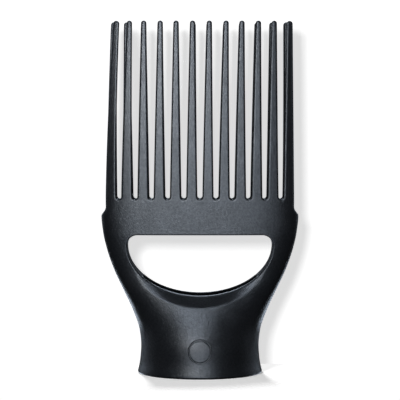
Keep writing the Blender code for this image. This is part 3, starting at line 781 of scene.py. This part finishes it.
class Nodes:
    """A material and its nodes."""

    def __init__(self, name, base, roughness, metallic=0.0):
        self.material = bpy.data.materials.new(name)
        self.material.use_nodes = True
        self.tree = self.material.node_tree
        self.shader = self.tree.nodes["Principled BSDF"]
        self.shader.inputs["Base Color"].default_value = (*base, 1.0)
        self.shader.inputs["Roughness"].default_value = roughness
        self.shader.inputs["Metallic"].default_value = metallic
        self.place = self.add("ShaderNodeTexCoord").outputs["Object"]

    def add(self, kind, **settings):
        """A node with its settings and input values."""
        node = self.tree.nodes.new(kind)
        for key, value in settings.items():
            if key in node.inputs:
                node.inputs[key].default_value = value
            else:
                setattr(node, key, value)
        return node

    def link(self, output, target):
        """Join an output to an input."""
        self.tree.links.new(output, target)

    def noise(self, scale, detail=2.0, roughness=0.5):
        """Noise of that many features a metre."""
        node = self.add("ShaderNodeTexNoise", Scale=scale, Detail=detail, Roughness=roughness)
        self.link(self.place, node.inputs["Vector"])
        return node.outputs["Fac"]

    def spread(self, value, low, high):
        """A noise value brought into a range."""
        node = self.add("ShaderNodeMapRange", **NOISE_RANGE, **{"To Min": low, "To Max": high})
        self.link(value, node.inputs["Value"])
        return node.outputs["Result"]

    def vary(self, setting, value, low, high):
        """Make a setting of the shader follow a noise value."""
        self.link(self.spread(value, low, high), self.shader.inputs[setting])

    def mixed(self, value, first, second):
        """A colour between two others. The first may be another node's output."""
        node = self.add("ShaderNodeMix", data_type="RGBA")
        self.link(value, node.inputs[0])
        if isinstance(first, tuple):
            node.inputs[MIX_FIRST].default_value = (*first, 1.0)
        else:
            self.link(first, node.inputs[MIX_FIRST])
        node.inputs[MIX_SECOND].default_value = (*second, 1.0)
        return node.outputs[MIX_RESULT]

    def colour_from(self, value, first, second):
        """Base colour that varies between two colours."""
        self.link(self.mixed(value, first, second), self.shader.inputs["Base Color"])

    def bump(self, heights):
        """Stack bumps: each is a value, its distance in metres and its strength."""
        normal = None
        for value, distance, strength in heights:
            node = self.add("ShaderNodeBump", Distance=distance, Strength=strength)
            self.link(value, node.inputs["Height"])
            if normal is not None:
                self.link(normal, node.inputs["Normal"])
            normal = node.outputs["Normal"]
        self.link(normal, self.shader.inputs["Normal"])


def black_moulding():
    """Black satin plastic with the fine grain of a spark-eroded mould, and a painted highlight along its
    rounded edges.
    """
    look = Nodes("black_moulding_look", (0.006, 0.0063, 0.007), 0.4)
    grain = look.noise(2300, 3.0, 0.6)
    look.vary("Roughness", look.noise(160, 3.0), 0.30, 0.37)
    look.vary("Specular IOR Level", look.noise(1000, 2.0), 0.40, 0.60)
    plain = look.mixed(grain, (0.004, 0.0042, 0.005), (0.008, 0.0083, 0.009))
    # A lighter, patchy line painted along the rounded edges stands in for their highlight
    painted_highlight_mask = look.add("ShaderNodeAttribute", attribute_name="painted_edge_highlight").outputs["Fac"]
    patchy_painted_highlight = look.add("ShaderNodeMath", operation="MULTIPLY")
    look.link(painted_highlight_mask, patchy_painted_highlight.inputs[0])
    look.link(look.spread(look.noise(700, 3.0), 0.3, 1.0), patchy_painted_highlight.inputs[1])
    look.colour_from(patchy_painted_highlight.outputs[0], plain, (0.035, 0.036, 0.038))
    look.bump(((grain, 0.0001, 0.9), (look.noise(1300, 2.0), 0.00005, 0.6)))
    return look.material


def duct_moulding():
    """Duller plastic of the inner duct."""
    look = Nodes("duct_moulding_look", (0.012, 0.012, 0.013), 0.55)
    grain = look.noise(1800, 3.0)
    look.vary("Roughness", grain, 0.48, 0.62)
    look.colour_from(grain, (0.010, 0.010, 0.011), (0.016, 0.016, 0.017))
    look.bump(((grain, 0.00005, 0.5),))
    return look.material


def sleeve_moulding():
    """Smooth dark plastic of the push-on sleeve."""
    look = Nodes("sleeve_moulding_look", (0.02, 0.02, 0.022), 0.35)
    look.vary("Roughness", look.noise(400, 3.0), 0.28, 0.42)
    look.colour_from(look.noise(1500, 2.0), (0.017, 0.017, 0.019), (0.024, 0.024, 0.026))
    look.bump(((look.noise(900, 2.0), 0.00003, 0.3),))
    return look.material


def slip_plastic():
    """Waxy off-white acetal."""
    look = Nodes("slip_plastic_look", (0.72, 0.70, 0.65), 0.38)
    cloud = look.noise(300, 3.0)
    look.vary("Roughness", cloud, 0.32, 0.46)
    look.colour_from(cloud, (0.68, 0.66, 0.60), (0.76, 0.74, 0.69))
    look.shader.inputs["Subsurface Weight"].default_value = 0.15
    look.shader.inputs["Subsurface Radius"].default_value = (0.001, 0.001, 0.0008)
    look.bump(((look.noise(2400, 2.0), 0.00002, 0.3),))
    return look.material


def silicone():
    """Soft dark silicone with a dusty bloom."""
    look = Nodes("silicone_look", (0.03, 0.03, 0.032), 0.7)
    dust = look.noise(700, 4.0, 0.65)
    look.vary("Roughness", dust, 0.6, 0.78)
    look.colour_from(dust, (0.025, 0.025, 0.027), (0.045, 0.045, 0.047))
    look.bump(((look.noise(1600, 2.0), 0.00004, 0.35),))
    return look.material


def spring_steel():
    """Bright drawn steel, finely marked."""
    look = Nodes("spring_steel_look", (0.56, 0.56, 0.57), 0.28, metallic=1.0)
    scratch = look.noise(3000, 4.0, 0.7)
    look.vary("Roughness", scratch, 0.2, 0.38)
    look.colour_from(look.noise(500, 2.0), (0.50, 0.50, 0.51), (0.60, 0.60, 0.60))
    look.bump(((scratch, 0.00002, 0.3),))
    return look.material


# ---------- pieces

def make_guide(name, rear, material):
    """Half of the inner duct, from the round inlet to just below the mouth."""
    half_width, drop = WINDOW_HALF_WIDTH + GUIDE_SET_BACK, WINDOW_DROP + GUIDE_SET_BACK
    lip = arc(0, WINDOW_MIDDLE_Z, half_width, drop, -45, -135, 70)
    heights = np.linspace(GUIDE_BOTTOM, GUIDE_SIDE_Z, 20)
    right = zipped(half_girth(heights), heights)[1:]
    outline = np.concatenate([across(GUIDE_BOTTOM), right, unrolled(lip), mirrored(right)])
    sheet = Sheet()
    sheet.loops.append(outline)
    sheet.add(outline, closed=True)
    sheet.fill(shell_grid()[::2], GUIDE_CLEARANCE)
    girth, z = sheet.points.T
    angle = angle_of(girth, z)
    faces = []
    for inset in (WALL + GUIDE_GAP, WALL + GUIDE_GAP + GUIDE_WALL):
        x, depth = skin_points(angle, z, inset)
        faces.append(zipped(x, depth if rear else -depth, z))
    guide = sheet_solid(name + "_moulding", *faces, sheet.triangles(), material)
    dress(guide, "nozzle", "duct_moulding", name)


def ring_faces(count, size, closed=False):
    """Faces along round rings of points. closed also joins the last ring to the first."""
    here = np.arange(count if closed else count - 1)[:, None]
    step = np.arange(size)[None, :]
    after, there = (step + 1) % size, (here + 1) % count
    faces = zipped(here * size + step, there * size + step, there * size + after, here * size + after)
    return faces.reshape(-1, 4).tolist()


def swept(name, rings, material, closed, edge):
    """A swept piece from rings of points, with rounded edges. An open one has a cap at each end."""
    count, size = rings.shape[:2]
    faces = ring_faces(count, size, closed)
    if not closed:
        faces += [list(range(size))[::-1], list(range((count - 1) * size, count * size))]
    thing = solid(name, rings.reshape(-1, 3), faces, material)
    soften(thing, edge)
    return thing


def soften(thing, edge):
    """Round a piece's sharp edges by that many millimetres."""
    bevel = thing.modifiers.new("rounded_edges", "BEVEL")
    bevel.width = edge * MM
    bevel.segments = 3
    bevel.limit_method = "ANGLE"
    bevel.angle_limit = math.radians(40)


def turned(outline, turns):
    """Points of an outline of (radius, height) points, at each of the turns about Z."""
    radius, height = np.array(outline).T
    return zipped(radius * np.cos(turns)[:, None], radius * np.sin(turns)[:, None], height)


def turned_rings(outline, steps, opening=0.0):
    """Rings of points all round, or as far as the opening at the rear, in degrees."""
    start = HALF_PI + math.radians(opening / 2)
    turns = np.linspace(start, start + 2 * math.pi - math.radians(opening), steps + 1)
    return turned(outline, turns if opening else turns[:-1])


def oblong(inner, outer, bottom, top):
    """Outline of a plain ring's section."""
    return [(inner, bottom), (outer, bottom), (outer, top), (inner, top)]


def sleeve_outline():
    """The sleeve's wall: its points up to the foot of the slits, and those of a finger above them."""
    bore, wall = SLEEVE_BORE_RADIUS, SLEEVE_RADIUS
    groove_top = RIB_TOP + RETAINER_HEIGHT + 2 * RUNNING_GAP
    spring = SPRING_WIRE_RADIUS + RUNNING_GAP
    low = [(bore, SLIT_BOTTOM), (bore, FLANGE_BOTTOM + LEAD_IN), (bore + LEAD_IN, FLANGE_BOTTOM),
           (FLANGE_RADIUS, FLANGE_BOTTOM), (FLANGE_RADIUS, FLANGE_TOP), (wall, FLANGE_TOP),
           (wall, RIB_TOP), (GROOVE_RADIUS, RIB_TOP), (GROOVE_RADIUS, groove_top), (wall, groove_top),
           (wall, SLIT_BOTTOM)]
    high = [(wall, SPRING_Z - spring), (SPRING_GROOVE_RADIUS, SPRING_Z - spring),
            (SPRING_GROOVE_RADIUS, SPRING_Z + spring), (wall, SPRING_Z + spring),
            (wall, SLEEVE_TOP - FINGER_CHAMFER), (wall - FINGER_CHAMFER, SLEEVE_TOP),
            (bore + FINGER_BORE_CHAMFER[0], SLEEVE_TOP), (bore, SLEEVE_TOP - FINGER_BORE_CHAMFER[1])]
    return low, high


def finger_turns(finger_steps=20, slit_steps=3):
    """Angles all round the sleeve, and which of them start a step that lies in a slit."""
    slit = SLIT_WIDTH / SLEEVE_RADIUS
    turns, in_slit = [], []
    for finger in range(FINGER_SLITS):
        middle = 2 * math.pi * (finger + 0.5) / FINGER_SLITS
        following = middle + 2 * math.pi / FINGER_SLITS
        turns += np.linspace(middle - slit / 2, middle + slit / 2, slit_steps + 1)[:-1].tolist()
        turns += np.linspace(middle + slit / 2, following - slit / 2, finger_steps + 1)[:-1].tolist()
        in_slit += [True] * slit_steps + [False] * finger_steps
    return np.array(turns), in_slit


def make_sleeve(material):
    """The push-on sleeve: flange with a lead-in, grooves, and spring fingers with chamfered tips."""
    low, high = sleeve_outline()
    size, split = len(low + high), len(low)
    turns, in_slit = finger_turns()
    faces = []
    for i in range(len(turns)):
        here, there = i * size, (i + 1) % len(turns) * size
        for j in range(split - 1 if in_slit[i] else size):
            after = (j + 1) % size
            faces.append((here + j, there + j, there + after, here + after))
        if in_slit[i]:
            faces.append((here + split - 1, there + split - 1, there, here))
        if in_slit[i] != in_slit[i - 1]:
            faces.append([here + j for j in range(split - 1, size)] + [here])
    points = turned(low + high, turns).reshape(-1, 3)
    sleeve = solid("mount_sleeve_moulding", points, faces, material)
    soften(sleeve, 0.12)
    dress(sleeve, "dryer_fitting", "sleeve_moulding", "mount_sleeve")


def make_washer(material):
    """Slip washer between the sleeve's flange and the shells' rib."""
    outline = oblong(SLEEVE_RADIUS + RUNNING_GAP, FLANGE_RADIUS, FLANGE_TOP + RUNNING_GAP,
                     RIB_BOTTOM - RUNNING_GAP)
    washer = swept("slip_washer_ring", turned_rings(outline, 160), material, True, 0.12)
    dress(washer, "dryer_fitting", "slip_plastic", "slip_washer")


def make_retainer(material):
    """Open ring in the sleeve's groove, which holds the shells' rib down."""
    bottom = RIB_TOP + RUNNING_GAP
    outline = oblong(GROOVE_RADIUS + RUNNING_GAP, RETAINER_RADIUS, bottom, bottom + RETAINER_HEIGHT)
    rings = turned_rings(outline, 150, RETAINER_OPENING)
    retainer = swept("retaining_ring_steel", rings, material, False, 0.1)
    dress(retainer, "dryer_fitting", "spring_steel", "retaining_ring")


def make_spring(material):
    """Open wire ring round the sleeve's fingers."""
    middle = SPRING_GROOVE_RADIUS + RUNNING_GAP + SPRING_WIRE_RADIUS
    rings = turned_rings(circle(middle, SPRING_Z, SPRING_WIRE_RADIUS, 14), 150, SPRING_OPENING)
    spring = swept("grip_spring_wire", rings, material, False, 0.1)
    dress(spring, "dryer_fitting", "spring_steel", "grip_spring")


def make_seal(material):
    """Seal above the sleeve, with a groove round it and a dished top."""
    inner, outer = SEAL_RADII
    bottom = SLEEVE_TOP + RUNNING_GAP
    top = bottom + SEAL_HEIGHT
    outline = [(inner, bottom), (outer, bottom), (outer, bottom + SEAL_RIM),
               (outer - SEAL_WAIST, bottom + SEAL_RIM + 0.2), (outer - SEAL_WAIST, top - SEAL_RIM - 0.1),
               (outer, top - SEAL_RIM + 0.1), (outer, top), (outer - SEAL_RIM, top),
               (outer - SEAL_RIM - 0.4, top - SEAL_DISH), (inner + SEAL_RIM, top - SEAL_DISH),
               (inner + SEAL_WAIST, top), (inner, top)]
    seal = swept("inlet_seal_ring", turned_rings(outline, 160), material, True, 0.1)
    dress(seal, "dryer_fitting", "silicone", "inlet_seal")


def cross_outline(reach, half):
    """Plus-shaped outline of a driver recess."""
    outline = []
    for quarter in range(4):
        turn = quarter * HALF_PI
        cosine, sine = math.cos(turn), math.sin(turn)
        for x, z in ((reach, -half), (reach, half), (half, half)):
            outline.append((x * cosine - z * sine, x * sine + z * cosine))
    return np.array(outline)


def screw_rings(head_bottom, around):
    """Depths along a screw from its point, and its radii round each: thread, shank and head."""
    start, thread_end = head_bottom - SHANK_LENGTH, head_bottom - PLAIN_SHANK
    head_top = head_bottom + HEAD_HEIGHT
    depths = list(np.arange(start, thread_end, THREAD_PITCH / THREAD_STEPS))
    rings = []
    for y in depths:
        tip = min((y - start) / POINT_LENGTH, 1.0)
        fade = min(tip, (thread_end - y) / THREAD_FADE, 1.0)
        phase = (y / THREAD_PITCH - around / (2 * math.pi)) % 1.0
        ridge = np.maximum(1 - np.abs(phase - 0.5) * THREAD_SHARPNESS, 0.0) * fade
        rings.append((THREAD_CORE + THREAD_DEPTH * ridge) * (POINT_SIZE + (1 - POINT_SIZE) * tip))
    for y, radius in ((thread_end, SHANK_RADIUS - 0.12), (head_bottom - 0.1, SHANK_RADIUS - 0.1),
                      (head_bottom, SHANK_RADIUS), (head_bottom, HEAD_RADIUS - 0.1),
                      (head_bottom + 0.1, HEAD_RADIUS), (head_top - 0.5, HEAD_RADIUS),
                      (head_top - 0.25, HEAD_RADIUS - 0.09), (head_top - 0.08, HEAD_RADIUS - 0.26),
                      (head_top, HEAD_RADIUS - 0.5)):
        depths.append(y)
        rings.append(np.full_like(around, radius))
    return np.array(depths), np.array(rings)


def head_faces(brim, cross, first):
    """Faces of a screw's head between its brim and its cross. first is the brim's first point."""
    size, arms = len(brim), len(cross)
    edges = [(i, (i + 1) % size) for i in range(size)]
    edges += [(size + i, size + (i + 1) % arms) for i in range(arms)]
    flat = np.concatenate([brim, cross])
    triangles = triangulated(flat, edges)
    middles = np.abs(flat[triangles].mean(axis=1))
    on_head = (middles.min(axis=1) > CROSS_HALF) | (middles.max(axis=1) > CROSS_REACH)
    return (triangles[on_head] + first).tolist()


def make_screw(name, material):
    """Pan-head screw with a cross recess and a rolled thread, along Y with its head at the rear."""
    around = np.linspace(0, 2 * math.pi, 33)[:-1]
    depths, rings = screw_rings(HEAD_SEAT + SCREW_GAP, around)
    count, size = rings.shape
    shank = zipped(rings * np.cos(around), depths[:, None], rings * np.sin(around)).reshape(-1, 3)
    faces = [list(range(size))] + ring_faces(count, size)
    cross = cross_outline(CROSS_REACH, CROSS_HALF)
    floor = cross_outline(CROSS_REACH * CROSS_TAPER[0], CROSS_HALF * CROSS_TAPER[1])
    faces += head_faces(shank[-size:, [0, 2]], cross, len(shank) - size)
    rim, arms = len(shank), len(cross)
    for i in range(arms):
        after = (i + 1) % arms
        faces.append((rim + i, rim + after, rim + arms + after, rim + arms + i))
    faces.append([rim + arms + i for i in range(arms)])
    recess = [np.insert(cross, 1, depths[-1], axis=1), np.insert(floor, 1, depths[-1] - CROSS_DEPTH, axis=1)]
    middle_x, middle_z = screw_place(name)
    points = np.concatenate([shank, *recess]) + (middle_x, 0.0, middle_z)
    screw = solid(name + "_steel", points, faces, material, sharp=30)
    dress(screw, "nozzle", "spring_steel", name)


# ---------- light and camera

def soft_light(name, azimuth, elevation, distance, size, radiance, colour=COOL, aim=(0, 0, 0.11)):
    """A rectangular soft light, by its direction from the point that it is aimed at."""
    data = bpy.data.lights.new(name, "AREA")
    data.shape = "RECTANGLE"
    data.size, data.size_y = size
    data.energy = radiance * math.pi * size[0] * size[1]
    data.color = colour
    light = bpy.data.objects.new(name, data)
    around, above = math.radians(azimuth), math.radians(elevation)
    level = math.cos(above)
    toward = Vector((math.sin(around) * level, -math.cos(around) * level, math.sin(above)))
    light.location = Vector(aim) + toward * distance
    light.rotation_euler = toward.to_track_quat("Z", "Y").to_euler()
    bpy.context.scene.collection.objects.link(light)
    return light


def make_world():
    """Surroundings that are white to the camera and dim to the object."""
    world = bpy.data.worlds.new("studio")
    bpy.context.scene.world = world
    world.use_nodes = True
    tree = world.node_tree
    path = tree.nodes.new("ShaderNodeLightPath")
    level = tree.nodes.new("ShaderNodeMapRange")
    level.inputs["To Min"].default_value, level.inputs["To Max"].default_value = WORLD_LEVELS
    tree.links.new(path.outputs["Is Camera Ray"], level.inputs["Value"])
    background = tree.nodes["Background"]
    background.inputs["Color"].default_value = (1, 1, 1, 1)
    tree.links.new(level.outputs["Result"], background.inputs["Strength"])


def paper_material(name, glow, fade_from, fade_to):
    """White paper that fades out at a distance from its middle and shows from the front only."""
    look = Nodes(name, (0.9, 0.9, 0.9), 0.9)
    look.shader.inputs["Emission Color"].default_value = (1, 1, 1, 1)
    look.shader.inputs["Emission Strength"].default_value = glow
    far = look.add("ShaderNodeVectorMath", operation="LENGTH")
    look.link(look.place, far.inputs[0])
    limits = {"From Min": fade_from, "From Max": fade_to}
    fade = look.add("ShaderNodeMapRange", interpolation_type="SMOOTHSTEP", **limits)
    look.link(far.outputs["Value"], fade.inputs["Value"])
    facing = look.add("ShaderNodeNewGeometry")
    hidden = look.add("ShaderNodeMath", operation="MAXIMUM")
    look.link(fade.outputs["Result"], hidden.inputs[0])
    look.link(facing.outputs["Backfacing"], hidden.inputs[1])
    clear = look.add("ShaderNodeBsdfTransparent")
    mix = look.add("ShaderNodeMixShader")
    look.link(hidden.outputs[0], mix.inputs[0])
    look.link(look.shader.outputs[0], mix.inputs[1])
    look.link(clear.outputs[0], mix.inputs[2])
    look.link(mix.outputs[0], look.tree.nodes["Material Output"].inputs["Surface"])
    return look.material


def sheet_of_paper(name, corners, place, material):
    """A flat stage sheet from its corners, round the point that its material fades from."""
    data = bpy.data.meshes.new(name)
    data.from_pydata(corners, [], [(0, 1, 2, 3)])
    data.materials.append(material)
    paper = bpy.data.objects.new(name, data)
    paper.location = place
    for rays in ("diffuse", "glossy", "transmission", "shadow"):
        setattr(paper, "visible_" + rays, False)
    bpy.context.scene.collection.objects.link(paper)
    return paper


def shine_on(name, members, lights):
    """Make lights that are linked to a collection of the members, and return it."""
    receivers = bpy.data.collections.new(name)
    for member in members:
        receivers.objects.link(member)
    for light in lights:
        soft_light(*light).light_linking.receiver_collection = receivers
    return receivers


def make_studio():
    """White floor and backdrop, and the lights: the nozzle's fall on everything except the two papers."""
    make_world()
    wide = FLOOR_REACH
    floor = sheet_of_paper("floor", [(-wide, -wide, 0), (wide, -wide, 0), (wide, wide, 0), (-wide, wide, 0)],
                           (FLOOR_X, 0, 0), paper_material("floor_paper", *FLOOR_LOOK))
    wide, rise = BACKDROP_REACH, BACKDROP_MIDDLE_Z
    backdrop = sheet_of_paper(
        "backdrop", [(-wide, 0, -rise), (wide, 0, -rise), (wide, 0, wide), (-wide, 0, wide)],
        (0, BACKDROP_Y, rise), paper_material("backdrop_paper", *BACKDROP_LOOK))
    not_papers = shine_on("not_papers", (floor, backdrop), NOZZLE_LIGHTS)
    for member in not_papers.collection_objects:
        member.light_linking.link_state = "EXCLUDE"
    shine_on("backdrop_only", (backdrop,), BACKDROP_LIGHTS)
    shine_on("floor_only", (floor,), FLOOR_LIGHTS)
    bpy.context.scene.view_settings.view_transform = "Standard"


def make_camera():
    """Camera in front of the nozzle, a little above its middle."""
    data = bpy.data.cameras.new("camera")
    camera = bpy.data.objects.new("camera", data)
    bpy.context.scene.collection.objects.link(camera)
    camera.location = (CAMERA_X, -CAMERA_DISTANCE, CAMERA_HEIGHT)
    aim = Vector((CAMERA_X, 0, CAMERA_AIM_Z))
    camera.rotation_euler = (aim - camera.location).to_track_quat("-Z", "Y").to_euler()
    data.sensor_width = 36.0
    data.lens = data.sensor_width * CAMERA_DISTANCE / VIEW_WIDTH
    data.clip_start = 0.01
    bpy.context.scene.camera = camera


make_camera()
make_studio()
black = black_moulding()
duct = duct_moulding()
steel = spring_steel()
make_shell("front_shell", FRONT_LEAN, False, black)
make_shell("rear_shell", REAR_LEAN, True, black)
make_guide("front_air_guide", False, duct)
make_guide("rear_air_guide", True, duct)
for node in ("centre_vane", "left_vane", "right_vane"):
    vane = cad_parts[node]
    vane.data.materials.clear()
    vane.data.materials.append(duct)
    soften(vane, 0.2)
make_sleeve(sleeve_moulding())
make_washer(slip_plastic())
make_retainer(steel)
make_spring(steel)
make_seal(silicone())
for node in SCREWS:
    make_screw(node, steel)
